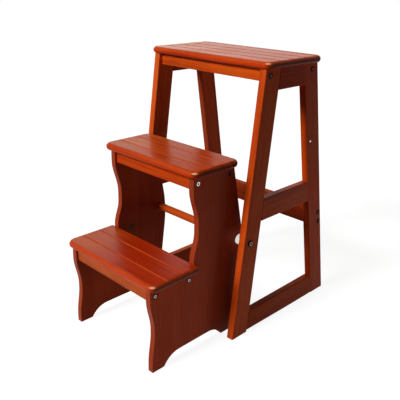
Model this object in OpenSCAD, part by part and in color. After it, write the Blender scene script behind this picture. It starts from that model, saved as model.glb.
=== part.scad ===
// Flip-over step stool in solid wood. An A-frame of two side frames carries the
// seat. A unit with two treads hangs between the front legs on one cross pivot:
// its feet stand on the floor in front for climbing, and it flips up and back
// into the A-frame for storage.
//
// X is the width, -Y is the side one climbs from, +Z is up. The origin is on the
// floor, in the middle of the stool's outline.

/* [Seat] */
// Height of the seat's top above the floor
seat_h = 650; // [620:1:680]
// How far the seat stands out on each side of the side frames
seat_side = 11; // [4:1:30]
// How far the seat stands out in front of the front legs
seat_nose = 7; // [4:1:20]
// How far the seat stands out behind the rear legs
seat_tail = 8; // [2:1:20]
// Number of grooves that mark out planks on the seat
seat_grooves = 4; // [0:1:4]
// Distance of the first groove from the seat's front edge
seat_first = 45.5; // [30:0.5:55]
// Distance from one groove to the next on the seat
seat_pitch = 46; // [20:0.5:48]

/* [Boards] */
// Thickness of the seat and of both treads, which have full-round edges
board_t = 17; // [14:1:20]
// Corner radius of the seat and treads, seen from above
corner_r = 20; // [14:1:30]
// Width of a groove at the surface
groove_w = 4; // [2:0.5:6]
// Rounding of the long edges of legs, rails and aprons
edge_r = 2; // [1:0.5:3]

/* [A-frame] */
// Width over the outer faces of the two side frames
frame_w = 362; // [320:1:440]
// Depth over the legs just under the seat
frame_d = 191; // [170:1:230]
// Thickness of legs and rails
leg_t = 18; // [15:1:20]
// Width of a leg
leg_w = 52; // [44:1:58]
// How far a front leg's foot stands in front of its top
front_lean = 77; // [65:1:95]
// How far a rear leg's foot stands behind its top
rear_splay = 106; // [90:1:118]
// Width of the top rail, under the seat
top_rail_w = 49; // [44:1:60]
// Width of the middle rail
middle_rail_w = 54; // [44:1:62]
// Height of the middle rail's lower edge above the floor
middle_rail_z = 281; // [270:0.5:320]
// Height of the bottom rail's upper edge above the floor
bottom_rail_z = 54; // [46:0.5:70]
// Relief under the bottom rail, just behind the front foot
foot_relief = 5; // [2:0.5:9]
// Thickness of the rear stretcher
stretcher_t = 17; // [15:1:20]
// Width of the rear stretcher, which the folded lower tread lies down on
stretcher_w = 55; // [50:1:70]
// How far the rear stretcher lies in from the rear edge of the rear legs
stretcher_inset = 2; // [1:0.5:4]

/* [Aprons] */
// Thickness of every apron
apron_t = 15; // [14:1:18]
// Height of the two aprons under the seat
seat_apron_h = 28; // [24:1:34]
// How far the seat's front apron lies behind the front edge of the legs' tops
front_apron_inset = 8; // [6:1:12]
// How far the seat's rear apron lies in front of the rear edge of the legs' tops
rear_apron_inset = 13; // [9:1:16]
// Height of the four aprons under the treads
tread_apron_h = 31; // [26:1:34]
// How far a tread's front apron lies behind the front edge of the side panels
tread_apron_inset = 5.5; // [4:0.5:8]
// How far a tread's rear apron lies in front of the rear edge over it
rear_apron_set = 7; // [5:0.5:10]

/* [Step unit] */
// Height of the middle tread's top above the floor
middle_h = 437; // [428:1:442]
// Height of the lower tread's top above the floor
lower_h = 218; // [208:1:222]
// Gap between each end of a tread and the side frame beside it
tread_play = 5.5; // [4:0.5:14]
// Depth of the middle tread
middle_d = 145; // [140:1:150]
// Number of grooves that mark out planks on each tread
tread_grooves = 2; // [0:1:2]
// Distance of the first groove from the middle tread's front edge
middle_first = 44.5; // [30:0.5:60]
// Distance from one groove to the next on the middle tread
middle_pitch = 53.5; // [20:0.5:60]
// Distance of the first groove from the lower tread's front edge
lower_first = 44.5; // [30:0.5:60]
// Distance from one groove to the next on the lower tread
lower_pitch = 47; // [20:0.5:60]
// Distance from the pivot forward to the lower tread's front edge
lower_reach = 277; // [272:1:282]
// Distance from the pivot forward to the middle tread's front edge
middle_reach = 160.5; // [154:0.5:163]
// Thickness of a side panel
panel_t = 14; // [12:1:18]
// How far the treads stand out on each side of the side panels
tread_side = 15.5; // [8:0.5:20]
// How far the lower tread stands out in front of the side panels
lower_nose = 8; // [4:1:12]
// How far the middle tread stands out in front of the side panels
middle_nose = 13; // [7:1:15]
// How far the middle tread stands out behind the side panels
middle_tail = 6; // [4:1:10]
// Depth of the hollow curve in a side panel's front edge under the lower tread
lower_hollow = 12; // [8:1:16]
// Depth of the hollow curve in a side panel's front edge under the middle tread
middle_hollow = 17; // [10:1:20]
// Straight length of the panel's front edge above the lower hollow
lower_hollow_from = 25.5; // [15:0.5:36]
// Depth under the lower tread at which the lower hollow reaches its full depth
lower_hollow_deep = 100.5; // [90:0.5:106]
// Depth under the lower tread at which the lower hollow starts to come forward
lower_hollow_end = 108.5; // [107:0.5:125]
// Height above the floor at which the lower hollow ends
lower_hollow_foot = 20; // [12:1:40]
// Straight length of the panel's front edge above the upper hollow
middle_hollow_from = 27.5; // [12:0.5:40]
// Depth under the middle tread at which the upper hollow reaches its full depth
middle_hollow_deep = 110.5; // [95:0.5:122]
// Depth under the middle tread at which the upper hollow starts to come forward
middle_hollow_end = 134.5; // [124:0.5:155]
// Height above the lower tread at which the upper hollow ends
middle_hollow_foot = 7.5; // [4:0.5:16]
// How far the panel's front foot stands behind the panel under the lower tread
foot_set = 5; // [2:0.5:8]
// How far the foot of the upper hollow stands behind the panel under the middle tread
upper_foot_set = 4; // [1:0.5:8]
// Height of the arch in a side panel's bottom edge
arch_h = 24.5; // [20:0.5:34]
// Radius at each end of that arch
arch_r = 53; // [42:1:64]
// Length of a side panel's front foot
front_foot = 33.5; // [26:0.5:44]
// Length of a side panel's rear foot
rear_foot = 37; // [28:1:46]

/* [Pivot] */
// Height of the pivot above the floor
pivot_h = 236; // [233:1:240]
// Distance from a front leg's front edge back to the pivot, at the pivot's height
pivot_set = 21.5; // [19:0.5:28]
// Diameter of the round cross rod between the side panels
rod_d = 19.5; // [17:0.5:22]
// Diameter of the pivot bolts
pivot_bolt_d = 8; // [6:1:10]
// Diameter of the pivot bolts' flat heads
pivot_head_d = 15; // [13:1:18]
// Diameter of the nylon spacers between the side panels and the legs
spacer_d = 24; // [20:1:28]
// Diameter of the fibre washers between the spacers and the side panels
washer_d = 21; // [18:1:24]
// Thickness of those washers
washer_t = 3; // [1.5:0.5:4]
// Diameter of the threaded inserts in the rod's ends
insert_d = 12; // [11:0.5:14]
// Length of those inserts
insert_l = 18; // [14:1:24]

/* [Fastenings] */
// Diameter of the connector bolts through the legs and side panels
bolt_d = 6; // [5:0.5:7]
// Diameter of their flat heads
head_d = 12; // [10.5:0.5:13]
// Thickness of every flat bolt head
head_t = 2.5; // [2:0.5:3.5]
// How deep the flat heads are let into the wood
head_sink = 1.5; // [0.5:0.25:2]
// Depth of the hex sockets in the bolt heads
socket_t = 2; // [1.25:0.25:2.5]
// Distance from an apron's end to its barrel nut
nut_set = 28; // [20:1:40]
// Diameter of the barrel nuts
nut_d = 10; // [9:0.5:11]
// Diameter of the dowel pins in the side frames
dowel_d = 8; // [6:1:9]
// Length of those pins
dowel_l = 34; // [24:1:40]
// Diameter of the screws that hold the seat and treads
screw_d = 4; // [3.5:0.5:5]
// How far those screws reach into a tread or the seat
screw_bite = 9; // [6:1:11]
// Distance of those screws from the end of their apron
screw_in = 70; // [45:1:100]
// Diameter of the steel studs in the rear legs
stud_d = 5; // [4:0.5:7]
// Length of those studs in the wood
stud_l = 10; // [6:1:14]
// Distance of those studs behind the front edge of the leg
stud_set = 15.5; // [8:0.5:30]
// Height of those studs above the floor
stud_z = 441; // [420:1:480]

/* [Clearances] */
// Radial clearance of a bolt or screw in its hole
hole_fit = 0.3; // [0.1:0.05:0.5]
// Radial clearance of pins, barrel nuts, threads and the pivot's bearings
close_fit = 0.05; // [0.02:0.01:0.1]
// Side play between the spacers and the legs, and under the pivot bolts' heads
side_play = 0.3; // [0.2:0.05:0.6]
// Gap left between the folded lower tread and the rear stretcher
stop_gap = 1; // [0.5:0.25:2]

/* [Hidden] */
$fn = 48;

LEFT = -1;
RIGHT = 1;
WOOD = [0.62, 0.24, 0.09];
DARK_WOOD = [0.45, 0.16, 0.08];
STEEL = [0.45, 0.43, 0.42];
BRASS = [0.72, 0.58, 0.30];
NYLON = [0.93, 0.91, 0.88];
FIBRE = [0.20, 0.16, 0.14];
PALE_WOOD = [0.80, 0.62, 0.42];

// A length longer than the stool, for cutting tools
BEYOND = seat_h + frame_w + frame_d;
// How far drills and cutters run past the surface they enter or leave by
past = 1;

// Side frames: the legs run from the floor to the underside of the seat
leg_h = seat_h - board_t;
seat_w = frame_w + 2 * seat_side;
seat_d = seat_nose + frame_d + seat_tail;
front_tilt = atan(front_lean / leg_h);
rear_tilt = atan(rear_splay / leg_h);
frame_in = frame_w / 2 - leg_t;

// Depths: the outline runs from the lower tread's front edge to the rear feet,
// and its middle is Y = 0
pivot_from_top = pivot_set - front_lean * (1 - pivot_h / leg_h);
top_y = (lower_reach - pivot_from_top - frame_d - rear_splay) / 2;
pivot_y = top_y + pivot_from_top;

// Edges of the legs where they face forward and backward, at height z
function front_edge(z) = top_y - front_lean * (1 - z / leg_h);
function rear_edge(z) = top_y + frame_d + rear_splay * (1 - z / leg_h);
function front_joint(z) = front_edge(z) + leg_w / cos(front_tilt);
function rear_joint(z) = rear_edge(z) - leg_w / cos(rear_tilt);

// Rails, each from its lower to its upper edge
top_rail = [leg_h - top_rail_w, leg_h];
middle_rail = [middle_rail_z, middle_rail_z + middle_rail_w];
bottom_rail = [0, bottom_rail_z];

// Step unit
tread_w = 2 * (frame_in - tread_play);
panel_out = tread_w / 2 - tread_side;
panel_in = panel_out - panel_t;
lower_y = pivot_y - lower_reach;
middle_y = pivot_y - middle_reach;
lower_under = lower_h - board_t;
middle_under = middle_h - board_t;
lower_front = lower_y + lower_nose;
lower_foot = lower_front + foot_set;
middle_front = middle_y + middle_nose;
middle_foot = middle_front + upper_foot_set;
middle_back = middle_y + middle_d - middle_tail;
lower_d = middle_foot - lower_y;

// Heights on each front edge: hollow starts, is deepest from and to, and ends
lower_wave = [lower_under - lower_hollow_from, lower_under - lower_hollow_deep,
              lower_under - lower_hollow_end, lower_hollow_foot];
middle_wave = [middle_under - middle_hollow_from, middle_under - middle_hollow_deep,
               middle_under - middle_hollow_end, lower_h + middle_hollow_foot];

// Rear edge of a side panel: down from the middle tread it leans back to a knee
// behind the pivot, then it follows the front leg's slope to the floor
knee_wood = 8;
knee_r = 300;
knee_y = pivot_y + rod_d / 2 + knee_wood;
heel_y = knee_y - pivot_h * tan(front_tilt);
knee_lean = atan((knee_y - middle_back) / (middle_under - pivot_h));
knee_turn = knee_lean + front_tilt;
knee_run = knee_r * tan(knee_turn / 2);
arch_run = sqrt(arch_h * (2 * arch_r - arch_h));

// Aprons and their bolts
seat_bolt_z = leg_h - seat_apron_h / 2;
seat_apron_front = top_y + front_apron_inset;
seat_apron_back = top_y + frame_d - rear_apron_inset - apron_t;
lower_bolt_z = lower_under - tread_apron_h / 2;
lower_apron_front = lower_front + tread_apron_inset;
lower_apron_back = lower_y + lower_d - rear_apron_set - apron_t;
middle_bolt_z = middle_under - tread_apron_h / 2;
middle_apron_front = middle_front + tread_apron_inset;
middle_apron_back = middle_back - rear_apron_set - apron_t;
nut_l = apron_t - 3;
bolt_past_nut = 4;
bolt_l = nut_set + bolt_past_nut + nut_d / 2;
head_bevel = 0.6;
screw_head_d = 2 * screw_d;
screw_head_t = 2;
countersink = 3;
stud_head_t = 0.8;
// Heights of a rail's two dowels and width of a hex socket, as shares
dowel_at = [0.28, 0.72];
socket_share = 0.78;
pivot_bolt_l = frame_w / 2 + side_play - panel_in + insert_l;
stud_y = rear_joint(stud_z) + stud_set;

// The rear stretcher lies in the slope of the rear legs: there y = 0 is their rear
// edge and z runs up along it. Its upper rear edge stops the folded step unit.
stop_z = 2 * pivot_h - lower_h - stop_gap;
stretcher_top = (stop_z - leg_h + stretcher_inset * sin(rear_tilt)) / cos(rear_tilt);
stretcher_mid = -stretcher_inset - stretcher_t / 2;
stretcher_bolt_in = 14;

// ---------------------------------------------------------------- shared forms

// A section with rounded corners, centred on the origin
module rounded_section(w, d, r) {
    square([w - 2 * r, d], center = true);
    square([w, d - 2 * r], center = true);
    for (x = [-1, 1], y = [-1, 1])
        translate([x * (w / 2 - r), y * (d / 2 - r)]) circle(r);
}

// A bar along X with rounded long edges; its low corner is at y, z
module bar_x(length, y, z, d, h) {
    translate([-length / 2, y + d / 2, z + h / 2])
        rotate([90, 0, 90])
            linear_extrude(length) rounded_section(d, h, edge_r);
}

// A pin along Y between y0 and y1
module pin_y(x, y0, y1, z, r) {
    translate([x, y0, z]) rotate([-90, 0, 0]) cylinder(r = r, h = y1 - y0);
}

// Everything between two heights
module slab(z0, z1) {
    translate([-BEYOND / 2, -BEYOND / 2, z0]) cube([BEYOND, BEYOND, z1 - z0]);
}

// Places its children with their local Z pointing out of the side's outer face
module on_face(side, x, y, z) {
    translate([side * x, y, z]) rotate([0, side * 90, 0]) children();
}

// A bolt with a flat socket head; the face of the wood is local z = 0
module flat_bolt(d, head, sink, depth) {
    top = head_t - sink;
    difference() {
        rotate_extrude() polygon([
            [0, -depth], [d / 2, -depth], [d / 2, -sink], [head / 2, -sink],
            [head / 2, top - head_bevel], [head / 2 - head_bevel, top], [0, top]
        ]);
        translate([0, 0, top - socket_t])
            cylinder(d = d * socket_share, h = socket_t + past, $fn = 6);
    }
}

// The hole of a connector bolt through a board, with the seat of its head
module bolt_hole(board) {
    translate([0, 0, -board - past]) cylinder(r = bolt_d / 2 + hole_fit, h = board + past);
    translate([0, 0, -head_sink]) cylinder(r = head_d / 2 + hole_fit, h = head_sink + past);
}

// The hole of a pivot bolt through a board whose outer face is at x
module pivot_hole(side, x, board, fit) {
    on_face(side, x, pivot_y, pivot_h)
        translate([0, 0, -board - past])
            cylinder(r = pivot_bolt_d / 2 + fit, h = board + 2 * past);
}

// A board with full-round edges and round corners, from y and z up; centred on x
module tread_board(w, d, y, z) {
    r = board_t / 2;
    inner = corner_r - r;
    translate([0, y + d / 2, z + r]) {
        for (sx = [-1, 1], sy = [-1, 1])
            translate([sx * (w / 2 - corner_r), sy * (d / 2 - corner_r), 0]) {
                rotate_extrude() translate([inner, 0]) circle(r);
                cylinder(r = inner, h = board_t, center = true);
            }
        cube([w - 2 * corner_r, d - 2 * r, board_t], center = true);
        cube([w - 2 * r, d - 2 * corner_r, board_t], center = true);
        for (s = [-1, 1]) {
            translate([0, s * (d / 2 - r), 0])
                rotate([0, 90, 0]) cylinder(r = r, h = w - 2 * corner_r, center = true);
            translate([s * (w / 2 - r), 0, 0])
                rotate([90, 0, 0]) cylinder(r = r, h = d - 2 * corner_r, center = true);
        }
    }
}

// V-grooves along X that mark out planks: the first one is at y, z is the top face
module grooves(w, y, z, count, pitch) {
    side = groove_w * sqrt(0.5);
    for (i = [0 : 1 : count - 1])
        translate([0, y + i * pitch, z])
            rotate([45, 0, 0]) cube([2 * w, side, side], center = true);
}

// ------------------------------------------------------------------ side frames

// A leg board of full length, standing on its own centre line
module leg_board(side, tilt, edge_y, inward) {
    intersection() {
        slab(0, leg_h);
        translate([side * (frame_w / 2 - leg_t / 2), edge_y, leg_h])
            rotate([tilt, 0, 0])
                translate([0, inward * leg_w / 2, -BEYOND])
                    linear_extrude(BEYOND + leg_w) rounded_section(leg_t, leg_w, edge_r);
    }
}

// A rail between the legs of one side frame
module rail_board(side, span, relief) {
    x = side * (frame_w / 2 - leg_t / 2);
    intersection() {
        translate([x, BEYOND / 2, (span[0] + span[1]) / 2])
            rotate([90, 0, 0])
                linear_extrude(BEYOND) rounded_section(leg_t, span[1] - span[0], edge_r);
        translate([x - leg_t, 0, 0])
            rotate([90, 0, 90])
                linear_extrude(2 * leg_t)
                    polygon([
                        [front_joint(span[0] + relief), span[0] + relief],
                        [rear_joint(span[0]), span[0]],
                        [rear_joint(span[1]), span[1]],
                        [front_joint(span[1]), span[1]]
                    ]);
    }
}

// The dowel pins of one side frame: two in each end of each rail
module dowels(side, extra) {
    x = side * (frame_w / 2 - leg_t / 2);
    for (span = [top_rail, middle_rail, bottom_rail], part = dowel_at) {
        z = span[0] + part * (span[1] - span[0]);
        for (joint = [front_joint(z), rear_joint(z)])
            pin_y(x, joint - dowel_l / 2, joint + dowel_l / 2, z, dowel_d / 2 + extra);
    }
}

module dowel_pins(side) {
    color(PALE_WOOD) dowels(side, 0);
}

module front_leg(side) {
    color(WOOD) difference() {
        leg_board(side, -front_tilt, top_y, 1);
        dowels(side, close_fit);
        seat_apron_bolt_places() bolt_hole(leg_t);
        pivot_hole(side, frame_w / 2, leg_t, close_fit);
    }
}

module rear_leg(side) {
    color(WOOD) difference() {
        leg_board(side, rear_tilt, top_y + frame_d, -1);
        dowels(side, close_fit);
        seat_apron_bolt_places() bolt_hole(leg_t);
        stretcher_bolt_places() bolt_hole(leg_t);
        on_face(side, frame_w / 2, stud_y, stud_z)
            translate([0, 0, -stud_l]) cylinder(r = stud_d / 2 + close_fit, h = stud_l + past);
    }
}

module rail(side, span, relief = 0) {
    color(WOOD) difference() {
        rail_board(side, span, relief);
        dowels(side, close_fit);
    }
}

// ------------------------------------------- seat, its aprons and the stretcher

module seat() {
    color(WOOD) difference() {
        tread_board(seat_w, seat_d, top_y - seat_nose, leg_h);
        grooves(seat_w, top_y - seat_nose + seat_first, seat_h, seat_grooves, seat_pitch);
        seat_screw_places() screw_pilot();
    }
}

module seat_apron(y, back) {
    color(WOOD) difference() {
        bar_x(2 * frame_in, y, leg_h - seat_apron_h, apron_t, seat_apron_h);
        seat_apron_bolt_places() bolt_shank_hole(leg_t);
        seat_apron_bolt_places() nut_pocket(leg_t, back);
        seat_screw_places() screw_hole(seat_apron_h);
    }
}

// The seat aprons' bolts: one through the top of every leg
module seat_apron_bolt_places() {
    for (side = [LEFT, RIGHT], y = [seat_apron_front, seat_apron_back])
        on_face(side, frame_w / 2, y + apron_t / 2, seat_bolt_z) children();
}

module seat_screw_places() {
    for (side = [LEFT, RIGHT], y = [seat_apron_front, seat_apron_back])
        translate([side * (frame_in - screw_in), y + apron_t / 2, leg_h]) children();
}

module stretcher_frame() {
    translate([0, top_y + frame_d, leg_h]) rotate([rear_tilt, 0, 0]) children();
}

module stretcher_bolt_places() {
    for (side = [LEFT, RIGHT], s = [-1, 1])
        stretcher_frame()
            on_face(side, frame_w / 2, stretcher_mid,
                    stretcher_top - stretcher_w / 2 + s * (stretcher_w / 2 - stretcher_bolt_in))
                children();
}

module rear_stretcher() {
    color(WOOD) difference() {
        stretcher_frame()
            bar_x(2 * frame_in, stretcher_mid - stretcher_t / 2, stretcher_top - stretcher_w,
                  stretcher_t, stretcher_w);
        stretcher_bolt_places() bolt_shank_hole(leg_t);
        stretcher_bolt_places() nut_pocket(leg_t, 1);
    }
}

// ------------------------------------------------------------------- fastenings

// Hole for a bolt's shank in the end of an apron; through is the board outside it
module bolt_shank_hole(through) {
    translate([0, 0, -through - bolt_l]) cylinder(r = bolt_d / 2 + hole_fit, h = through + bolt_l);
}

// Pocket for a barrel nut, open to the hidden face: back is +1 toward +Y, -1 toward -Y
module nut_pocket(through, back) {
    translate([0, -back * nut_l / 2, -through - nut_set])
        rotate([-back * 90, 0, 0]) cylinder(r = nut_d / 2 + close_fit, h = nut_l + apron_t);
}

module barrel_nut(through) {
    translate([0, 0, -through - nut_set]) rotate([90, 0, 0]) difference() {
        cylinder(d = nut_d, h = nut_l, center = true);
        rotate([90, 0, 0]) cylinder(r = bolt_d / 2 + close_fit, h = nut_d + past, center = true);
    }
}

module connector_bolt(through) {
    flat_bolt(bolt_d, head_d, head_sink, through + bolt_l);
}

// A screw up through an apron into the board on top of it; local z = 0 is the joint
module screw(apron_h) {
    low = countersink - apron_h;
    rotate_extrude() polygon([
        [0, low], [screw_head_d / 2, low], [screw_head_d / 2, low + screw_head_t],
        [screw_d / 2, low + screw_head_t], [screw_d / 2, screw_bite], [0, screw_bite]
    ]);
}

module screw_hole(apron_h) {
    translate([0, 0, -apron_h - past]) {
        cylinder(r = screw_d / 2 + hole_fit, h = apron_h + 2 * past);
        cylinder(r = screw_head_d / 2 + hole_fit, h = past + countersink + screw_head_t);
    }
}

module screw_pilot() {
    translate([0, 0, -past]) cylinder(r = screw_d / 2 + close_fit, h = screw_bite + past);
}

module seat_screws() {
    color(STEEL) seat_screw_places() screw(seat_apron_h);
}

module seat_apron_bolts() {
    color(STEEL) seat_apron_bolt_places() connector_bolt(leg_t);
}

module seat_apron_nuts() {
    color(BRASS) seat_apron_bolt_places() barrel_nut(leg_t);
}

module stretcher_bolts() {
    color(STEEL) stretcher_bolt_places() connector_bolt(leg_t);
}

module stretcher_nuts() {
    color(BRASS) stretcher_bolt_places() barrel_nut(leg_t);
}

// Small steel studs with a low bevelled head near the front edge of the rear legs
module rear_leg_studs() {
    color(STEEL) for (side = [LEFT, RIGHT])
        on_face(side, frame_w / 2, stud_y, stud_z)
            rotate_extrude() polygon([
                [0, -stud_l], [stud_d / 2, -stud_l], [stud_d / 2, 0],
                [stud_d / 2 - stud_head_t, stud_head_t], [0, stud_head_t]
            ]);
}

// -------------------------------------------------------------------- step unit

// Points of a front edge that swings from y0 at z0 to y1 at z1 in half a wave
function swing(y0, z0, y1, z1, n = 14) = [
    for (i = [0 : n]) [y0 + (y1 - y0) * (1 - cos(180 * i / n)) / 2, z0 + (z1 - z0) * i / n]
];

// Points of a whole front edge: straight at the top, hollow below, out again to its foot
function front_points(front, foot, wave, hollow) = concat(
    swing(front, wave[0], front + hollow, wave[1]),
    swing(front + hollow, wave[2], foot, wave[3])
);

// Points of the arc that rounds the knee behind the pivot, from above to below
function knee_arc(n = 16) = [
    for (i = [0 : n])
        let (a = knee_lean - knee_turn * i / n)
            [knee_y - knee_run * sin(knee_lean) + knee_r * (cos(a) - cos(knee_lean)),
             pivot_h + knee_run * cos(knee_lean) + knee_r * (sin(a) - sin(knee_lean))]
];

// One end of the arch: from the floor at y0 up to its crown, toward dir
function arch_end(y0, dir, n = 10) = [
    for (i = [0 : n])
        let (a = acos(1 - arch_h / arch_r) * (1 - i / n))
            [y0 + dir * (arch_run - arch_r * sin(a)), arch_h - arch_r * (1 - cos(a))]
];

function backward(list) = [for (i = [len(list) - 1 : -1 : 0]) list[i]];

module panel_outline() {
    polygon(concat(
        [[middle_front, middle_under]],
        front_points(middle_front, middle_foot, middle_wave, middle_hollow),
        [[middle_foot, lower_under], [lower_front, lower_under]],
        front_points(lower_front, lower_foot, lower_wave, lower_hollow),
        [[lower_foot, 0]],
        arch_end(lower_foot + front_foot, 1),
        backward(arch_end(heel_y - rear_foot, -1)),
        [[heel_y, 0]],
        backward(knee_arc()),
        [[middle_back, middle_under]]
    ));
}

module side_panel(side) {
    color(DARK_WOOD) difference() {
        translate([side * (panel_out - panel_t / 2) - panel_t / 2, 0, 0])
            rotate([90, 0, 90]) linear_extrude(panel_t) panel_outline();
        middle_bolt_places() bolt_hole(panel_t);
        lower_bolt_places() bolt_hole(panel_t);
        pivot_hole(side, panel_out, panel_t, hole_fit);
    }
}

module middle_tread() {
    color(WOOD) difference() {
        tread_board(tread_w, middle_d, middle_y, middle_under);
        grooves(tread_w, middle_y + middle_first, middle_h, tread_grooves, middle_pitch);
        middle_screw_places() screw_pilot();
    }
}

// The lower tread is square at the back, where it meets the front edge of the panels
module lower_tread() {
    color(WOOD) difference() {
        intersection() {
            tread_board(tread_w, lower_d + 2 * corner_r, lower_y, lower_under);
            translate([-tread_w, lower_y - past, lower_under - past])
                cube([2 * tread_w, lower_d + past, board_t + 2 * past]);
        }
        grooves(tread_w, lower_y + lower_first, lower_h, tread_grooves, lower_pitch);
        lower_screw_places() screw_pilot();
    }
}

module tread_apron(y, under, back) {
    color(WOOD) difference() {
        bar_x(2 * panel_in, y, under - tread_apron_h, apron_t, tread_apron_h);
        middle_bolt_places() bolt_shank_hole(panel_t);
        middle_bolt_places() nut_pocket(panel_t, back);
        lower_bolt_places() bolt_shank_hole(panel_t);
        lower_bolt_places() nut_pocket(panel_t, back);
        middle_screw_places() screw_hole(tread_apron_h);
        lower_screw_places() screw_hole(tread_apron_h);
    }
}

module middle_bolt_places() {
    for (side = [LEFT, RIGHT], y = [middle_apron_front, middle_apron_back])
        on_face(side, panel_out, y + apron_t / 2, middle_bolt_z) children();
}

module lower_bolt_places() {
    for (side = [LEFT, RIGHT], y = [lower_apron_front, lower_apron_back])
        on_face(side, panel_out, y + apron_t / 2, lower_bolt_z) children();
}

module middle_screw_places() {
    for (side = [LEFT, RIGHT], y = [middle_apron_front, middle_apron_back])
        translate([side * (panel_in - screw_in), y + apron_t / 2, middle_under]) children();
}

module lower_screw_places() {
    for (side = [LEFT, RIGHT], y = [lower_apron_front, lower_apron_back])
        translate([side * (panel_in - screw_in), y + apron_t / 2, lower_under]) children();
}

module middle_tread_screws() {
    color(STEEL) middle_screw_places() screw(tread_apron_h);
}

module lower_tread_screws() {
    color(STEEL) lower_screw_places() screw(tread_apron_h);
}

module middle_apron_bolts() {
    color(STEEL) middle_bolt_places() connector_bolt(panel_t);
}

module middle_apron_nuts() {
    color(BRASS) middle_bolt_places() barrel_nut(panel_t);
}

module lower_apron_bolts() {
    color(STEEL) lower_bolt_places() connector_bolt(panel_t);
}

module lower_apron_nuts() {
    color(BRASS) lower_bolt_places() barrel_nut(panel_t);
}

// ------------------------------------------------------------------------ pivot

module cross_rod() {
    color(WOOD) difference() {
        translate([-panel_in, pivot_y, pivot_h])
            rotate([0, 90, 0]) cylinder(d = rod_d, h = 2 * panel_in);
        for (side = [LEFT, RIGHT])
            on_face(side, panel_in, pivot_y, pivot_h)
                translate([0, 0, -insert_l])
                    cylinder(r = insert_d / 2 + close_fit, h = insert_l + past);
    }
}

module rod_inserts() {
    color(BRASS) for (side = [LEFT, RIGHT])
        on_face(side, panel_in, pivot_y, pivot_h)
            translate([0, 0, -insert_l]) difference() {
                cylinder(d = insert_d, h = insert_l);
                translate([0, 0, -past])
                    cylinder(r = pivot_bolt_d / 2 + close_fit, h = insert_l + 2 * past);
            }
}

module pivot_bolt(side) {
    color(STEEL) on_face(side, frame_w / 2 + side_play, pivot_y, pivot_h)
        flat_bolt(pivot_bolt_d, pivot_head_d, 0, pivot_bolt_l);
}

// A ring on the pivot's axis between two distances from the stool's middle
module pivot_ring(side, x0, x1, d, fit) {
    on_face(side, x0, pivot_y, pivot_h) difference() {
        cylinder(d = d, h = x1 - x0);
        translate([0, 0, -past]) cylinder(r = pivot_bolt_d / 2 + fit, h = x1 - x0 + 2 * past);
    }
}

module pivot_washer(side) {
    color(FIBRE) pivot_ring(side, panel_out, panel_out + washer_t, washer_d, hole_fit);
}

module pivot_spacer(side) {
    color(NYLON) pivot_ring(side, panel_out + washer_t, frame_in - side_play, spacer_d, hole_fit);
}

seat();
seat_apron(seat_apron_front, 1);  // seat_front_apron
seat_apron(seat_apron_back, -1);  // seat_rear_apron
rear_stretcher();
front_leg(LEFT);  // left_front_leg
front_leg(RIGHT);  // right_front_leg
rear_leg(LEFT);  // left_rear_leg
rear_leg(RIGHT);  // right_rear_leg
rail(LEFT, top_rail);  // left_top_rail
rail(RIGHT, top_rail);  // right_top_rail
rail(LEFT, middle_rail);  // left_middle_rail
rail(RIGHT, middle_rail);  // right_middle_rail
rail(LEFT, bottom_rail, foot_relief);  // left_bottom_rail
rail(RIGHT, bottom_rail, foot_relief);  // right_bottom_rail
dowel_pins(LEFT);  // left_dowel_pins
dowel_pins(RIGHT);  // right_dowel_pins
seat_screws();
seat_apron_bolts();
seat_apron_nuts();
stretcher_bolts();
stretcher_nuts();
rear_leg_studs();
side_panel(LEFT);  // left_side_panel
side_panel(RIGHT);  // right_side_panel
middle_tread();
lower_tread();
tread_apron(middle_apron_front, middle_under, 1);  // middle_front_apron
tread_apron(middle_apron_back, middle_under, -1);  // middle_rear_apron
tread_apron(lower_apron_front, lower_under, 1);  // lower_front_apron
tread_apron(lower_apron_back, lower_under, -1);  // lower_rear_apron
middle_tread_screws();
lower_tread_screws();
middle_apron_bolts();
middle_apron_nuts();
lower_apron_bolts();
lower_apron_nuts();
cross_rod();
rod_inserts();
pivot_bolt(LEFT);  // left_pivot_bolt
pivot_bolt(RIGHT);  // right_pivot_bolt
pivot_spacer(LEFT);  // left_pivot_spacer
pivot_spacer(RIGHT);  // right_pivot_spacer
pivot_washer(LEFT);  // left_pivot_washer
pivot_washer(RIGHT);  // right_pivot_washer
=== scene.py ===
import math

import bpy
from mathutils import Matrix, Vector


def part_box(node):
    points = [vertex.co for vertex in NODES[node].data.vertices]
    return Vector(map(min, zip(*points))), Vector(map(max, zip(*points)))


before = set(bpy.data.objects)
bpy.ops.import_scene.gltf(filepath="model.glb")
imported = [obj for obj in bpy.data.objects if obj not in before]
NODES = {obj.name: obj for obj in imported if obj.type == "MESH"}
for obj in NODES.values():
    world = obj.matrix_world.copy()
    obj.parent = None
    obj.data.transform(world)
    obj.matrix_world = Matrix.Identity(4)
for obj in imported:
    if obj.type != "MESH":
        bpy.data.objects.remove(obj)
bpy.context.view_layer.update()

# ---------------------------------------------------------------- camera

CAMERA_AIM = Vector((-0.0096, 0.0, 0.3752))
CAMERA_DISTANCE = 1.433
CAMERA_AZIMUTH = math.radians(44.69)
CAMERA_HEIGHT_ANGLE = math.radians(18.05)
CAMERA_ROLL = math.radians(1.03)
CAMERA_LENS = 52.05
CAMERA_SHIFT = -0.0875
SENSOR_WIDTH = 36


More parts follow.
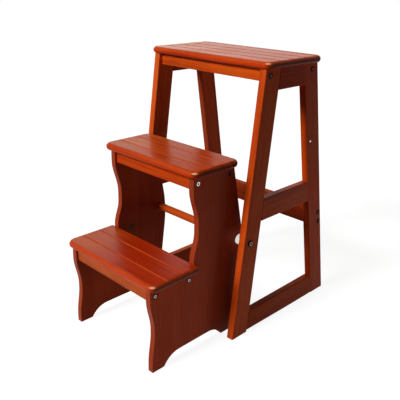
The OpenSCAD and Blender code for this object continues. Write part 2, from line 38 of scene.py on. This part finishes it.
def place_camera():
    """A camera on a tripod, in front of the stool and to its right."""
    data = bpy.data.cameras.new("camera")
    data.sensor_width = SENSOR_WIDTH
    data.lens = CAMERA_LENS
    data.shift_y = CAMERA_SHIFT
    data.clip_start, data.clip_end = 0.05, 50

    sin_a, cos_a = math.sin(CAMERA_AZIMUTH), math.cos(CAMERA_AZIMUTH)
    sin_h, cos_h = math.sin(CAMERA_HEIGHT_ANGLE), math.cos(CAMERA_HEIGHT_ANGLE)
    back = Vector((sin_a * cos_h, -cos_a * cos_h, sin_h))
    level_right = Vector((cos_a, sin_a, 0))
    level_up = back.cross(level_right)
    right = level_right * math.cos(CAMERA_ROLL) + level_up * math.sin(CAMERA_ROLL)
    up = level_up * math.cos(CAMERA_ROLL) - level_right * math.sin(CAMERA_ROLL)

    camera = bpy.data.objects.new("camera", data)
    bpy.context.scene.collection.objects.link(camera)
    turn = Matrix((right, up, back)).transposed().to_4x4()
    camera.matrix_world = Matrix.Translation(CAMERA_AIM + back * CAMERA_DISTANCE) @ turn
    bpy.context.scene.camera = camera


place_camera()

# ---------------------------------------------------------------- node helpers

# Places of the colour sockets on a Mix node, which also has sockets for numbers and vectors
MIX_SHARE, MIX_FIRST, MIX_SECOND, MIX_RESULT = 0, 6, 7, 2

# Radii to which edges are rounded by their shading, in metres
WOOD_EDGE, METAL_EDGE, MOULDED_EDGE = 0.0014, 0.0006, 0.0008


def rgb(red, green, blue):
    return (red, green, blue, 1.0)


def grey(level):
    return rgb(level, level, level)


class Wire:
    """The output of a node. Sums and products of wires and numbers add Math nodes."""

    def __init__(self, tree, socket):
        self.tree, self.socket = tree, socket

    def __add__(self, other):
        return self.tree.math("ADD", self, other)

    __radd__ = __add__

    def __sub__(self, other):
        return self.tree.math("SUBTRACT", self, other)

    def __rsub__(self, other):
        return self.tree.math("SUBTRACT", other, self)

    def __mul__(self, other):
        return self.tree.math("MULTIPLY", self, other)

    __rmul__ = __mul__

    def __truediv__(self, other):
        return self.tree.math("DIVIDE", self, other)

    def __rtruediv__(self, other):
        return self.tree.math("DIVIDE", other, self)

    def __abs__(self):
        return self.tree.math("ABSOLUTE", self)


class Tree:
    """A node tree, and the calls that add nodes to it."""

    def __init__(self, owner):
        owner.use_nodes = True
        self.nodes, self.links = owner.node_tree.nodes, owner.node_tree.links
        self.nodes.clear()

    def add(self, kind, settings=None, sockets=None, out=0):
        """A node of that kind with its settings, and then the values or links of its sockets."""
        node = self.nodes.new("ShaderNode" + kind)
        for name, value in (settings or {}).items():
            if name == "stops":
                stops = node.color_ramp.elements
                while len(stops) < len(value):
                    stops.new(1)
                for stop, (place, colour) in zip(stops, value):
                    stop.position, stop.color = place, colour
            else:
                setattr(node, name, value)
        for name, value in (sockets or {}).items():
            if isinstance(value, Wire):
                self.links.new(value.socket, node.inputs[name])
            else:
                node.inputs[name].default_value = value
        return Wire(self, node.outputs[out]) if node.outputs else None

    def math(self, operation, *numbers):
        return self.add("Math", {"operation": operation}, dict(enumerate(numbers)))

    def vector_math(self, operation, *vectors, out="Vector"):
        return self.add("VectorMath", {"operation": operation}, dict(enumerate(vectors)), out)

    def dot(self, first, second):
        return self.vector_math("DOT_PRODUCT", first, second, out="Value")

    def noise(self, place, scale, detail=2.0, roughness=0.5, distortion=0.0):
        return self.add("TexNoise", None, {
            "Vector": place, "Scale": scale, "Detail": detail,
            "Roughness": roughness, "Distortion": distortion})

    def drawn_out(self, ways, lengthwise, crosswise, **looks):
        """Noise with so many waves a metre along the first of three ways, and along the others."""
        along, side, depth = ways
        stretched = self.add("CombineXYZ", None, {
            "X": along * lengthwise, "Y": side * crosswise, "Z": depth * crosswise})
        return self.noise(stretched, 1.0, **looks)

    def remap(self, value, low, high):
        """0 where the value is at low, 1 where it is at high, and smooth in between."""
        return self.add("MapRange", {"interpolation_type": "SMOOTHSTEP"}, {
            "Value": value, "From Min": low, "From Max": high})

    def mix(self, share, first, second, blend="MIX"):
        """Two colours mixed by a share of the second."""
        return self.add("Mix", {"data_type": "RGBA", "blend_type": blend}, {
            MIX_SHARE: share, MIX_FIRST: first, MIX_SECOND: second}, MIX_RESULT)

    def darken(self, colour, where, kept):
        """A colour that keeps only that share of its brightness there."""
        return self.mix(where, colour, grey(kept), "MULTIPLY")

    def rounded(self, radius):
        """The way the surface faces, with edges rounded to that radius."""
        return self.add("Bevel", {"samples": 6}, {"Radius": radius})

    def on_edge(self, rounded, low, high):
        """1 on edges, where the rounded direction leaves the flat one, and 0 on faces."""
        flat = self.add("NewGeometry", out="Normal")
        return self.remap(1 - self.dot(rounded, flat), low, high)

    def surface(self, looks, relief, strength, deep, rounded=None):
        """A surface with those looks, and relief of that strength and depth in metres."""
        bump = {"Height": relief, "Strength": strength, "Distance": deep}
        if rounded is not None:
            bump["Normal"] = rounded
        return self.add("BsdfPrincipled", None, {**looks, "Normal": self.add("Bump", None, bump)})

    def show(self, shader):
        self.add("OutputMaterial", None, {"Surface": shader})


# ---------------------------------------------------------------- wood

ALONG_X = Vector((1, 0, 0))
ALONG_Y = Vector((0, 1, 0))
ALONG_Z = Vector((0, 0, 1))
FRONT_LEAN = Vector((0, 0.077, 0.633)).normalized()
REAR_LEAN = Vector((0, -0.106, 0.633)).normalized()

# Tint of what the lacquer reflects head-on
LACQUER = rgb(1.0, 0.86, 0.62)
# Colour of a dark spot on the wood
DARK_SPOT_BROWN = rgb(0.050, 0.054, 0.022)
# Colour of the painted highlight on the boards' corners
CORNER_HIGHLIGHT = rgb(1.0, 0.50, 0.27)
# A strip's tone lies at most half of this above or below the board's
STRIP_CONTRAST = 0.07
# Chooses which strips are dark and which are pale
STRIP_SEED = 3.7


class WoodTree(Tree):
    """The nodes of one stained and lacquered piece of wood."""

    def __init__(self, material, stain, grain):
        super().__init__(material)
        self.stain = stain
        self.place = self.add("TexCoord", out="Object")
        self.outward = self.add("TexCoord", out="Normal")
        self.rise = self.dot(self.outward, ALONG_Z)
        self.smear = self.remap(self.noise(self.place, 9.0), 0.35, 0.65)
        patches = self.noise(self.place, 55.0, detail=3.0, roughness=0.6)
        self.patchy = self.remap(patches, 0.40, 0.62)
        self.grow(grain)

    def grow(self, grain):
        """The streaks, fibres and pores of the wood, and the tone that they make together."""
        across = ALONG_X if abs(grain.x) < 0.5 else ALONG_Y
        third = grain.cross(across).normalized()
        ways = [self.dot(self.place, way) for way in (grain, across, third)]
        along, side, depth = ways
        figure = self.drawn_out(ways, 1.7, 15.0, detail=3.0, roughness=0.55, distortion=0.7)
        self.streak = self.drawn_out(ways, 7.0, 120.0, roughness=0.6, distortion=0.3)
        self.fibre = self.drawn_out(ways, 30.0, 620.0, roughness=0.6)
        self.pores = self.remap(self.drawn_out(ways, 75.0, 1500.0, detail=1.0), 0.60, 0.72)
        turns = side * 95.0 + depth * 210.0 + along * 1.5 + figure * 5.0
        rings = self.math("SINE", turns * math.pi)
        self.tone = figure * 0.46 + self.streak * 0.32 + self.fibre * 0.22 + rings * 0.03

    def part_strips(self, start, pitch):
        """Gives each strip of that pitch along Y, counted from start, a tone of its own."""
        row = (self.dot(self.place, ALONG_Y) - start) / pitch
        index = self.math("FLOOR", row)
        from_middle = abs(row - index - 0.5)
        self.from_groove = (0.5 - from_middle) * pitch
        own = self.add("TexWhiteNoise", {"noise_dimensions": "1D"}, {"W": index + STRIP_SEED}, "Value")
        self.tone = self.tone + own * STRIP_CONTRAST - STRIP_CONTRAST / 2

    def stained(self, stain):
        """A stain over the wood, deeper where its tone is low and paler where it is high."""
        red, green, blue = stain
        deep = rgb(red * 0.70, green * 0.56, blue * 0.6)
        pale = rgb(min(red * 1.22, 0.9), green * 1.5, blue * 1.6)
        stops = [(0.36, deep), (0.50, rgb(*stain)), (0.66, pale)]
        return self.add("ValToRGB", {"stops": stops}, {"Fac": self.tone})

    def paint_top_light(self, colour, stain, painted_reflection):
        """A stain of the top's own, painted for the light and sheen on it, and a paler one from start to
        end, painted as a reflection.
        """
        top = self.remap(self.rise, 0.96, 0.998)
        colour = self.mix(top, colour, self.stained(stain))
        if painted_reflection:
            paler, start, end = painted_reflection
            there = self.remap(self.dot(self.place, ALONG_X), start, end)
            colour = self.mix(there * top, colour, self.stained(paler))
        return colour

    def add_dark_spot(self, colour, middle, reach):
        """A dark spot that reaches so far along X, Y and Z."""
        offset = self.vector_math("DIVIDE", self.vector_math("SUBTRACT", self.place, middle), reach)
        away = self.vector_math("LENGTH", offset, out="Value")
        spot_core = 1 - self.remap(away + self.patchy * 0.3, 0.45, 1.25)
        return self.mix(spot_core * 0.9, colour, DARK_SPOT_BROWN)

    def rub_and_highlight(self, colour, amount):
        """Paler wood on the shoulders of round edges, partly wear and partly a painted highlight, and a
        painted highlight on the corners.
        """
        red, green, blue = self.stain
        # Shoulders: partly wear, partly a painted highlight.
        highlit = rgb(red * 1.1, green * 3.2, blue * 5.0)
        shoulder = self.remap(self.rise, 0.20, 0.50) * (1 - self.remap(self.rise, 0.72, 0.96))
        colour = self.mix(shoulder * (0.3 + self.patchy * 0.4) * amount, colour, highlit)
        # Corners: a painted highlight.
        oblique = abs(self.dot(self.outward, ALONG_X) * self.dot(self.outward, ALONG_Y))
        corner = self.remap(oblique * self.rise, 0.125, 0.185)
        return self.mix(corner * 0.85, colour, CORNER_HIGHLIGHT)

    def shade_grooves(self, shader, reach):
        """Painted shade: a dull dark band in each groove of the top, out to that reach from its middle.
        """
        red, green, blue = self.stain
        dull = self.add("BsdfDiffuse", None, {"Color": rgb(red * 0.55, green * 0.9, blue)})
        line = (1 - self.remap(self.from_groove, 0.4 * reach, reach)) * self.remap(self.rise, 0.5, 0.8)
        return self.add("MixShader", None, {0: line * (0.65 + self.smear * 0.30), 1: shader, 2: dull})


def wood(node, stain, grain, ior=1.15, roughness=0.34, lively=1.0, end_grain_and_shade_way=None, end_grain_and_shade_kept=0.5,
         strips=None, groove_shade=0.0, top_light_stain=None, painted_reflection=None, painted_shade=None, dark_spot=None, round_wear_and_highlight=0.0):
    """Stained and lacquered hardwood for a node, with its grain along one direction.

    lively: contrast of the grain
    end_grain_and_shade_way, end_grain_and_shade_kept: faces square to this direction keep this
    share of their brightness; along the grain that is end grain drawing in more stain, along any other
    direction it is painted shade
    strips: from the front edge to the first groove, and from each groove to the next
    groove_shade: how far the dark line of painted shade in each groove reaches
    top_light_stain, painted_reflection: stain of the top, painted for its light and sheen;
    a paler stain painted as a reflection, and where along X that starts and is complete
    painted_shade: direction along which painted shade darkens the wood, where that starts and
    is complete, and the share of brightness that is left
    dark_spot: middle of a dark spot, and how far it reaches
    round_wear_and_highlight: wear and painted highlight on round edges, painted highlight on corners"""
    material = bpy.data.materials.new(node + "_wood")
    tree = WoodTree(material, stain, grain)
    if strips:
        first, pitch = strips
        lowest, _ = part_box(node)
        tree.part_strips(lowest.y + first, pitch)
    tree.tone = tree.tone * lively + 0.5 * (1 - lively)

    colour = tree.stained(stain)
    # The top's own stain, painted for the light and sheen on it.
    if top_light_stain:
        colour = tree.paint_top_light(colour, top_light_stain, painted_reflection)
    red, green, blue = stain
    in_pores = rgb(red * 0.34, green * 0.22, blue * 0.4)
    colour = tree.mix(tree.pores * 0.35, colour, in_pores)

    # Faces square to that direction are darker: end grain along the grain, and painted shade along any
    # other direction.
    end_grain_and_shade = tree.remap(abs(tree.dot(tree.outward, end_grain_and_shade_way or grain)), 0.45, 0.85)
    colour = tree.darken(colour, end_grain_and_shade, end_grain_and_shade_kept)
    # Painted shade: darker along a direction, from where it starts to where it is complete.
    if painted_shade:
        way, start, end, kept = painted_shade
        deeper = tree.remap(tree.dot(tree.place, way), start, end)
        colour = tree.darken(colour, deeper * (1 - end_grain_and_shade), kept)

    rounded = tree.rounded(WOOD_EDGE)
    edge = tree.on_edge(rounded, 0.02, 0.16)
    # Paler edges: partly wear of the lacquer, partly a painted highlight.
    edge_wear_and_highlight = rgb(min(red * 1.35, 0.95), green * 2.2, blue * 3.0)
    colour = tree.mix(edge * (0.12 + tree.patchy * 0.25), colour, edge_wear_and_highlight)
    # A dark spot at the given place.
    if dark_spot:
        colour = tree.add_dark_spot(colour, *dark_spot)
    # Wear and painted highlights on the round edges, and painted highlights on the corners.
    if round_wear_and_highlight:
        colour = tree.rub_and_highlight(colour, round_wear_and_highlight)

    gloss = roughness + tree.smear * 0.06 + tree.streak * 0.05 + tree.pores * 0.10 + edge * 0.06
    relief = tree.fibre * 0.5 + tree.streak * 0.3 - tree.pores * 0.9
    looks = {"Base Color": colour, "Roughness": gloss, "IOR": ior, "Specular Tint": LACQUER}
    shader = tree.surface(looks, relief, strength=0.22, deep=0.00012, rounded=rounded)
    # Painted shade in each groove of the top.
    if groove_shade:
        shader = tree.shade_grooves(shader, groove_shade)
    tree.show(shader)
    return material


def raw_beech(name):
    """Bare turned beech for the dowel pins, which lie along Y."""
    material = bpy.data.materials.new(name)
    tree = Tree(material)
    place = tree.add("TexCoord", out="Object")
    ways = [tree.dot(place, way) for way in (ALONG_Y, ALONG_X, ALONG_Z)]
    fibre = tree.drawn_out(ways, 40.0, 800.0, roughness=0.6)
    colour = tree.mix(fibre, rgb(0.40, 0.24, 0.12), rgb(0.62, 0.43, 0.25))
    looks = {"Base Color": colour, "Roughness": 0.55 + fibre * 0.2}
    tree.show(tree.surface(looks, fibre, strength=0.4, deep=0.0002))
    return material


# The stains below are set piece by piece: besides the wood's own tone they hold painted light and shade,
# darker on pieces that lie in shade and paler on lit ones.
# Boards to step on, with their grain along X
BOARDS = {
    # On the boards the tops carry a stain of their own, painted for their light and sheen. The treads
    # carry a paler stain towards their left ends, painted as a reflection, and the seat carries painted
    # shade in each groove. The round edges carry wear and painted highlights.
    "seat": dict(
        stain=(0.53, 0.041, 0.004), top_light_stain=(0.61, 0.080, 0.006), ior=1.123, roughness=0.20,
        lively=1.25, strips=(0.0455, 0.046), groove_shade=0.0042, round_wear_and_highlight=0.45),
    "middle_tread": dict(
        stain=(0.475, 0.037, 0.004), top_light_stain=(0.545, 0.054, 0.004), ior=1.11, roughness=0.20,
        painted_reflection=((0.56, 0.082, 0.010), -0.01, -0.11), strips=(0.0445, 0.0535), round_wear_and_highlight=0.32),
    "lower_tread": dict(
        stain=(0.465, 0.035, 0.004), top_light_stain=(0.455, 0.025, 0.002), ior=1.21, roughness=0.28,
        painted_reflection=((0.51, 0.062, 0.008), -0.02, -0.125), strips=(0.0445, 0.047), round_wear_and_highlight=0.36),
}

# Bars from one side to the other, with their grain along X
BARS = {
    "seat_front_apron": dict(stain=(0.57, 0.071, 0.005), ior=1.12),
    "seat_rear_apron": dict(stain=(0.50, 0.060, 0.005), ior=1.12),
    "middle_front_apron": dict(stain=(0.48, 0.046, 0.003), ior=1.10),
    "middle_rear_apron": dict(stain=(0.46, 0.046, 0.004), ior=1.12),
    "lower_front_apron": dict(stain=(0.475, 0.078, 0.008), ior=1.18),
    "lower_rear_apron": dict(stain=(0.45, 0.060, 0.006), ior=1.12),
    "cross_rod": dict(stain=(0.50, 0.062, 0.006)),
    "rear_stretcher": dict(stain=(0.42, 0.042, 0.004), ior=1.12),
}

# Boards of the two side frames, and the side panels of the step unit
SIDES = {
    "left_front_leg": dict(stain=(0.66, 0.096, 0.011), grain=FRONT_LEAN),
    "right_front_leg": dict(stain=(0.57, 0.068, 0.006), grain=FRONT_LEAN),
    # Its front and back faces are darkened as painted shade.
    "left_rear_leg": dict(stain=(0.64, 0.078, 0.015), grain=REAR_LEAN, end_grain_and_shade_way=ALONG_Y, end_grain_and_shade_kept=0.55),
    "right_rear_leg": dict(stain=(0.485, 0.047, 0.003), grain=REAR_LEAN, ior=1.135),
    "left_top_rail": dict(stain=(0.40, 0.046, 0.006), grain=ALONG_Y),
    "right_top_rail": dict(stain=(0.375, 0.031, 0.004), grain=ALONG_Y, ior=1.13),
    "left_middle_rail": dict(stain=(0.42, 0.050, 0.006), grain=ALONG_Y),
    "right_middle_rail": dict(stain=(0.45, 0.050, 0.005), grain=ALONG_Y),
    "left_bottom_rail": dict(stain=(0.56, 0.070, 0.008), grain=ALONG_Y),
    "right_bottom_rail": dict(stain=(0.40, 0.047, 0.004), grain=ALONG_Y, ior=1.11),
    # Side panels: front and rear edges darkened as painted shade, and painted shade that darkens the
    # left panel upwards and the right one towards the rear.
    "left_side_panel": dict(
        stain=(0.53, 0.070, 0.018), grain=ALONG_Z, lively=0.55, end_grain_and_shade_way=ALONG_Y, end_grain_and_shade_kept=0.61,
        painted_shade=(ALONG_Z, 0.06, 0.21, 0.68), dark_spot=((-0.128, -0.1255, 0.2085), (0.02, 0.0125, 0.01))),
    "right_side_panel": dict(
        stain=(0.565, 0.069, 0.019), grain=ALONG_Z, lively=0.55, end_grain_and_shade_way=ALONG_Y, end_grain_and_shade_kept=0.52,
        painted_shade=(ALONG_Y, -0.20, -0.03, 0.56)),
}

# ---------------------------------------------------------------- metal and plastic

BLACK_STEEL = (0.006, 0.005, 0.005)
# Two points of one bolt are nearer to each other than this, and two bolts are further apart
BOLT_REACH = 0.016

# Colour of the bright edges, reflection tint and painted highlight ring of the bolts, the inner
# and outer radius of that ring around their sockets, and how many bolts of the node have one, counted
# from the front
HIGHLIT_BOLTS = {
    "middle_apron_bolts": dict(bright=(0.92, 0.80, 0.76), ring=(0.0028, 0.0044), highlit=1),
    "lower_apron_bolts": dict(bright=(0.50, 0.38, 0.36), ring=(0.0018, 0.0036), highlit=2),
    "left_pivot_bolt": dict(bright=(0.36, 0.27, 0.24), ring=(0.0034, 0.0048), highlit=1),
    "right_pivot_bolt": dict(bright=(0.36, 0.27, 0.24), ring=(0.0034, 0.0048), highlit=1),
}
OTHER_BOLTS = dict(bright=(0.26, 0.20, 0.18), ring=(0.0022, 0.0027), highlit=4)


def halfway(values):
    return (min(values) + max(values)) / 2


def bolt_middles(node):
    """The (y, z) middles of a node's bolts, which all lie along X, from the front on."""
    bolts = []
    for corner in node.data.vertices:
        place = corner.co.yz
        bolt = next((bolt for bolt in bolts if (bolt[0] - place).length < BOLT_REACH), None)
        if bolt is None:
            bolts.append([place])
        else:
            bolt.append(place)
    return sorted((halfway([y for y, z in bolt]), halfway([z for y, z in bolt])) for bolt in bolts)


def turned_metal(name, dark, bright, roughness, shine=1.0, middles=(), ring=(0.0, 0.0)):
    """Turned metal with fine tool marks, and bright edges of that shine where rubbing wore it.

    Around each of the middles a bright ring of that inner and outer radius is painted as a highlight."""
    material = bpy.data.materials.new(name)
    tree = Tree(material)
    place = tree.add("TexCoord", out="Object")
    marks = tree.noise(place, 2600.0, roughness=0.6)
    stains = tree.remap(tree.noise(place, 240.0, detail=3.0, roughness=0.6), 0.35, 0.7)
    rounded = tree.rounded(METAL_EDGE)
    colour = tree.mix(stains * 0.4, rgb(*dark), rgb(*(0.7 * part for part in dark)))
    colour = tree.mix(tree.on_edge(rounded, 0.01, 0.12) * shine, colour, rgb(*bright))
    if middles:
        across = tree.vector_math("MULTIPLY", place, (0, 1, 1))
        nearest = 1.0
        for y, z in middles:
            away = tree.vector_math("DISTANCE", across, (0, y, z), out="Value")
            nearest = tree.math("MINIMUM", away, nearest)
        # Painted highlight: a bright ring around each middle.
        inner, outer = ring
        outside = tree.remap(nearest, outer - 0.0004, outer + 0.0004)
        ring_highlight = tree.remap(nearest, inner - 0.0002, inner + 0.0002) * (1 - outside)
        colour = tree.mix(ring_highlight, colour, rgb(*bright))
    looks = {
        "Base Color": colour, "Metallic": 1.0, "Specular Tint": rgb(*bright),
        "Roughness": roughness + stains * 0.12 + marks * 0.06}
    tree.show(tree.surface(looks, marks, strength=0.15, deep=0.0001, rounded=rounded))
    return material


def bolt_steel(name, node):
    """Blackened steel for a node's bolts, with a bright ring painted as a highlight on the heads of the
    front ones.
    """
    look = HIGHLIT_BOLTS.get(name, OTHER_BOLTS)
    return turned_metal(
        name + "_steel", BLACK_STEEL, look["bright"], roughness=0.22, shine=0.08,
        middles=bolt_middles(node)[:look["highlit"]], ring=look["ring"])


def moulded(name, plain, mottle, roughness, spots, glow=0.0):
    """A moulded or pressed part with a faint mottle, and that much painted glow, though it is no lamp.
    """
    material = bpy.data.materials.new(name)
    tree = Tree(material)
    place = tree.add("TexCoord", out="Object")
    clouds = tree.remap(tree.noise(place, spots, detail=3.0, roughness=0.6), 0.35, 0.65)
    fine = tree.noise(place, spots * 9)
    colour = tree.mix(clouds, rgb(*plain), rgb(*mottle))
    looks = {
        "Base Color": colour, "Roughness": roughness + fine * 0.1,
        "Emission Color": colour, "Emission Strength": glow}
    rounded = tree.rounded(MOULDED_EDGE)
    tree.show(tree.surface(looks, fine, strength=0.12, deep=0.0002, rounded=rounded))
    return material


def dress():
    """Gives each node its finish."""
    beech = raw_beech("dowel_beech")
    steel = turned_metal("stud_steel", (0.75, 0.73, 0.72), (0.90, 0.88, 0.86), roughness=0.25)
    brass = turned_metal("nut_brass", (0.66, 0.50, 0.24), (0.9, 0.75, 0.42), roughness=0.30)
    # The spacer glows as painted light.
    nylon = moulded(
        "spacer_nylon", (0.86, 0.84, 0.80), (0.80, 0.78, 0.73), roughness=0.38, spots=160.0, glow=0.55)
    fibre = moulded(
        "washer_fibre", (0.030, 0.024, 0.020), (0.055, 0.045, 0.038), roughness=0.60, spots=420.0)
    endings = {
        "_dowel_pins": beech, "_screws": steel, "_studs": steel, "_nuts": brass,
        "_inserts": brass, "_spacer": nylon, "_washer": fibre,
    }
    for name, node in NODES.items():
        if name in BOARDS:
            finish = wood(name, grain=ALONG_X, end_grain_and_shade_kept=0.42, **BOARDS[name])
        elif name in BARS:
            finish = wood(name, grain=ALONG_X, roughness=0.30, **BARS[name])
        elif name in SIDES:
            finish = wood(name, **SIDES[name])
        elif name.endswith(("_bolt", "_bolts")):
            finish = bolt_steel(name, node)
        else:
            finish = next(made for ending, made in endings.items() if name.endswith(ending))
        node.data.materials.clear()
        node.data.materials.append(finish)


dress()

# ---------------------------------------------------------------- studio

WHITE = grey(1.0)
FAINTLY_WARM = (1.0, 0.95, 0.70)
# Strength of the backdrop as light on the stool
SKY_LEVEL = 0.012
FLOOR_REACH = 8.0


def add_lamp(name, kind, towards):
    """A lamp that shines against the given direction."""
    lamp = bpy.data.objects.new(name, bpy.data.lights.new(name, kind))
    bpy.context.scene.collection.objects.link(lamp)
    lamp.rotation_mode = "QUATERNION"
    lamp.rotation_quaternion = (-towards).to_track_quat("-Z", "Y")
    return lamp


def far_lamp(name, towards, level, spread, tint=(1, 1, 1)):
    """A far, wide lamp: at level 1 a colour facing it renders as it is written."""
    lamp = add_lamp(name, "SUN", Vector(towards))
    lamp.data.color = tint
    lamp.data.energy = level * math.pi
    lamp.data.angle = math.radians(spread)


def near_lamp(name, place, aim, level, size):
    """A soft panel beside the stool, with that level at its aim."""
    place, aim = Vector(place), Vector(aim)
    lamp = add_lamp(name, "AREA", place - aim)
    lamp.location = place
    lamp.data.shape = "RECTANGLE"
    lamp.data.size, lamp.data.size_y = size
    lamp.data.energy = level * math.pi ** 2 * (place - aim).length_squared
    lamp.visible_camera = lamp.visible_glossy = False


def seen_directly(tree):
    """1 for what the camera, a mirror or glass shows, and 0 for light on the stool."""
    camera = tree.add("LightPath", out="Is Camera Ray")
    mirror = tree.add("LightPath", out="Is Glossy Ray")
    glass = tree.add("LightPath", out="Is Transmission Ray")
    return camera + mirror + glass


def hang_lamps():
    """A key lamp in front, a weak one on the left, and three small panels near the floor."""
    far_lamp("key_lamp", (-0.117, -0.8305, 0.545), level=1.0, spread=16)
    far_lamp("left_lamp", (-0.765, 0.441, 0.469), level=0.12, spread=50, tint=FAINTLY_WARM)
    near_lamp("back_lamp", (0.70, 0.60, 0.03), aim=(0.17, 0.0, 0.10), level=0.13, size=(0.3, 0.2))
    near_lamp("low_lamp", (0.66, -0.02, 0.03), aim=(0.19, -0.02, 0.12), level=0.03, size=(0.8, 0.1))
    near_lamp("front_lamp", (0.55, -0.75, 0.04), aim=(-0.128, -0.26, 0.06), level=0.05, size=(0.4, 0.06))


def hang_backdrop():
    """A white backdrop all around, which gives the stool only a little light."""
    world = bpy.data.worlds.new("studio")
    bpy.context.scene.world = world
    tree = Tree(world)
    light = tree.add("Background", None, {"Color": WHITE, "Strength": SKY_LEVEL})
    backdrop = tree.add("Background", None, {"Color": WHITE, "Strength": 1.0})
    sky = tree.add("MixShader", None, {0: seen_directly(tree), 1: light, 2: backdrop})
    tree.add("OutputWorld", None, {"Surface": sky})


def lay_floor():
    """White paper on the floor, which keeps a faint shadow of the stool."""
    mesh = bpy.data.meshes.new("floor")
    sides = ((-1, -1), (1, -1), (1, 1), (-1, 1))
    mesh.from_pydata([(x * FLOOR_REACH, y * FLOOR_REACH, 0) for x, y in sides], [], [(0, 1, 2, 3)])
    floor = bpy.data.objects.new("floor", mesh)
    bpy.context.scene.collection.objects.link(floor)

    finish = bpy.data.materials.new("floor_paper")
    mesh.materials.append(finish)
    tree = Tree(finish)
    bounce = tree.add("BsdfDiffuse", None, {"Color": grey(0.17)})
    paper = tree.add("BsdfDiffuse", None, {"Color": grey(0.23)})
    glow = tree.add("Emission", None, {"Color": WHITE, "Strength": 0.90})
    shown = tree.add("AddShader", None, {0: paper, 1: glow})
    tree.show(tree.add("MixShader", None, {0: seen_directly(tree), 1: bounce, 2: shown}))


hang_lamps()
hang_backdrop()
lay_floor()
bpy.context.scene.view_settings.view_transform = "Standard"
